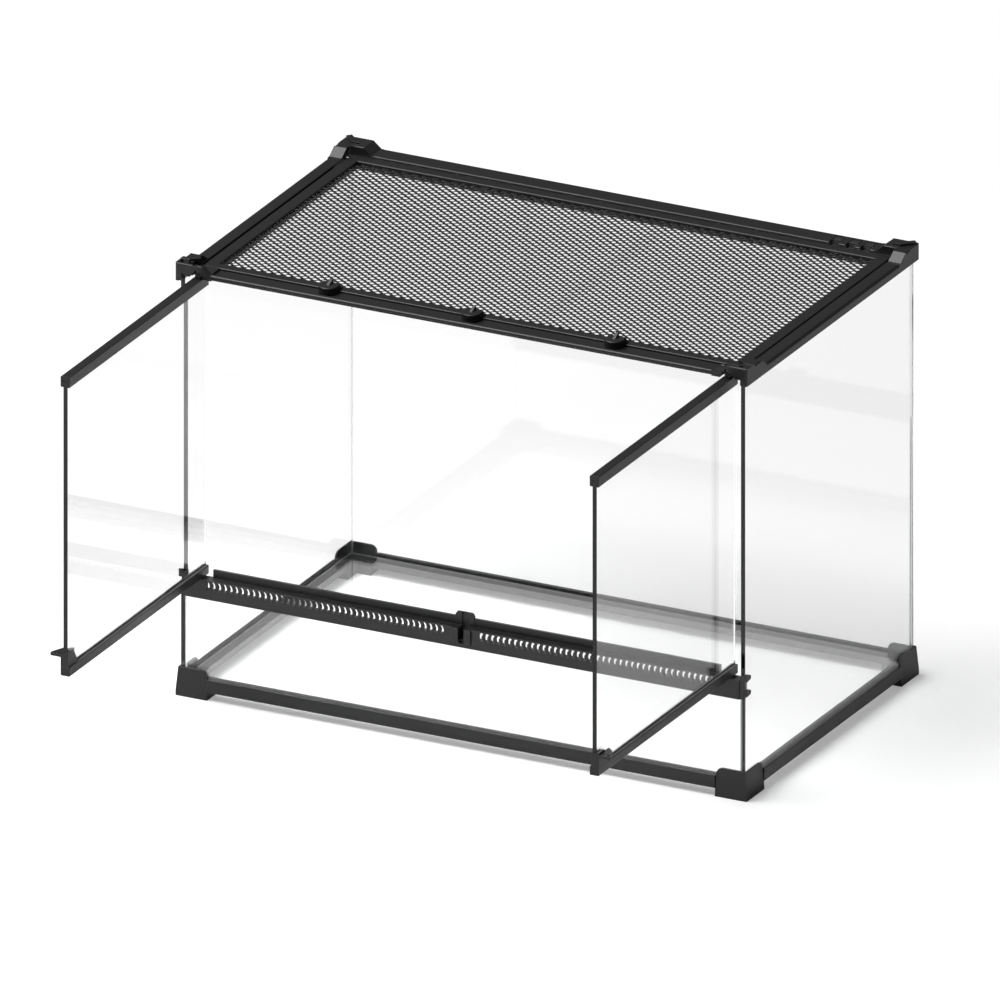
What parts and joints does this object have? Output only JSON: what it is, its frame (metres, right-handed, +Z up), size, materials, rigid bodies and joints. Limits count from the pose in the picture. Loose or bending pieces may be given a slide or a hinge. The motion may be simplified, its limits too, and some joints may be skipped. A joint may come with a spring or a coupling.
{
  "type": "reptile terrarium",
  "caption": "Front-opening glass reptile terrarium with a low front pane, a vent strip, hinged glass doors, a lift-up mesh lid with latches, and stacking corners.",
  "frame": {"origin": "centre of the tank's footprint, on the floor the feet stand on", "axes": "+X to the right seen from the doors, +Y from the doors to the back pane, +Z up"},
  "size_m": [0.608, 0.6432, 0.4434],
  "materials": {
    "tank_glass": "clear float glass with polished edges",
    "silicone": "clear silicone bead",
    "black_plastic": "moulded black ABS with a fine satin texture",
    "mesh_wire": "black-coated expanded steel mesh",
    "steel_pin": "plain drawn steel"
  },
  "bodies": {
    "tank": {"bottom_glass": "tank_glass", "left_side_glass": "tank_glass", "right_side_glass": "tank_glass", "back_glass": "tank_glass", "front_low_glass": "tank_glass", "silicone_seams": "silicone", "base_rail_front": "black_plastic", "base_rail_back": "black_plastic", "base_rail_left": "black_plastic", "base_rail_right": "black_plastic", "foot_front_left": "black_plastic", "foot_front_right": "black_plastic", "foot_back_left": "black_plastic", "foot_back_right": "black_plastic", "vent_strip": "black_plastic", "door_catch": "black_plastic", "strip_clip_left": "black_plastic", "strip_clip_right": "black_plastic", "top_rail_front": "black_plastic", "top_rail_back": "black_plastic", "top_rail_left": "black_plastic", "top_rail_right": "black_plastic", "top_corner_front_left": "black_plastic", "top_corner_front_right": "black_plastic", "top_corner_back_left": "black_plastic", "top_corner_back_right": "black_plastic"},
    "left_door": {"left_door_glass": "tank_glass", "left_door_top_rail": "black_plastic", "left_door_bottom_rail": "black_plastic", "left_door_handle": "black_plastic", "left_door_top_pin": "steel_pin", "left_door_bottom_pin": "steel_pin"},
    "right_door": {"right_door_glass": "tank_glass", "right_door_top_rail": "black_plastic", "right_door_bottom_rail": "black_plastic", "right_door_handle": "black_plastic", "right_door_top_pin": "steel_pin", "right_door_bottom_pin": "steel_pin"},
    "lid": {"lid_frame": "black_plastic", "lid_mesh": "mesh_wire", "lid_hinge_pins": "steel_pin"},
    "latch_left": {"latch_left": "black_plastic"},
    "latch_centre": {"latch_centre": "black_plastic"},
    "latch_right": {"latch_right": "black_plastic"},
    "shutter_1": {"inlet_shutter_1": "black_plastic"},
    "shutter_2": {"inlet_shutter_2": "black_plastic"},
    "shutter_3": {"inlet_shutter_3": "black_plastic"}
  },
  "joints": [
    {"name": "left_door_hinge", "type": "hinge", "parent": "tank", "child": "left_door", "pos_m": [-0.2816, -0.1794, 0.125], "axis": [0, 0, 1], "range_deg": [-45, 90]},
    {"name": "right_door_hinge", "type": "hinge", "parent": "tank", "child": "right_door", "pos_m": [0.2816, -0.1794, 0.125], "axis": [0, 0, 1], "range_deg": [-90, 45]},
    {"name": "lid_hinge", "type": "hinge", "parent": "tank", "child": "lid", "pos_m": [0, 0.1525, 0.4319], "axis": [-1, 0, 0], "range_deg": [0, 100]},
    {"name": "latch_left_slide", "type": "slide", "parent": "lid", "child": "latch_left", "axis": [0, -1, 0], "range_m": [0, 0.005]},
    {"name": "latch_centre_slide", "type": "slide", "parent": "lid", "child": "latch_centre", "axis": [0, -1, 0], "range_m": [0, 0.005]},
    {"name": "latch_right_slide", "type": "slide", "parent": "lid", "child": "latch_right", "axis": [0, -1, 0], "range_m": [0, 0.005]},
    {"name": "shutter_1_slide", "type": "slide", "parent": "tank", "child": "shutter_1", "axis": [0, -1, 0], "range_m": [0, 0.007]},
    {"name": "shutter_2_slide", "type": "slide", "parent": "tank", "child": "shutter_2", "axis": [0, -1, 0], "range_m": [0, 0.007]},
    {"name": "shutter_3_slide", "type": "slide", "parent": "tank", "child": "shutter_3", "axis": [0, -1, 0], "range_m": [0, 0.007]}
  ]
}
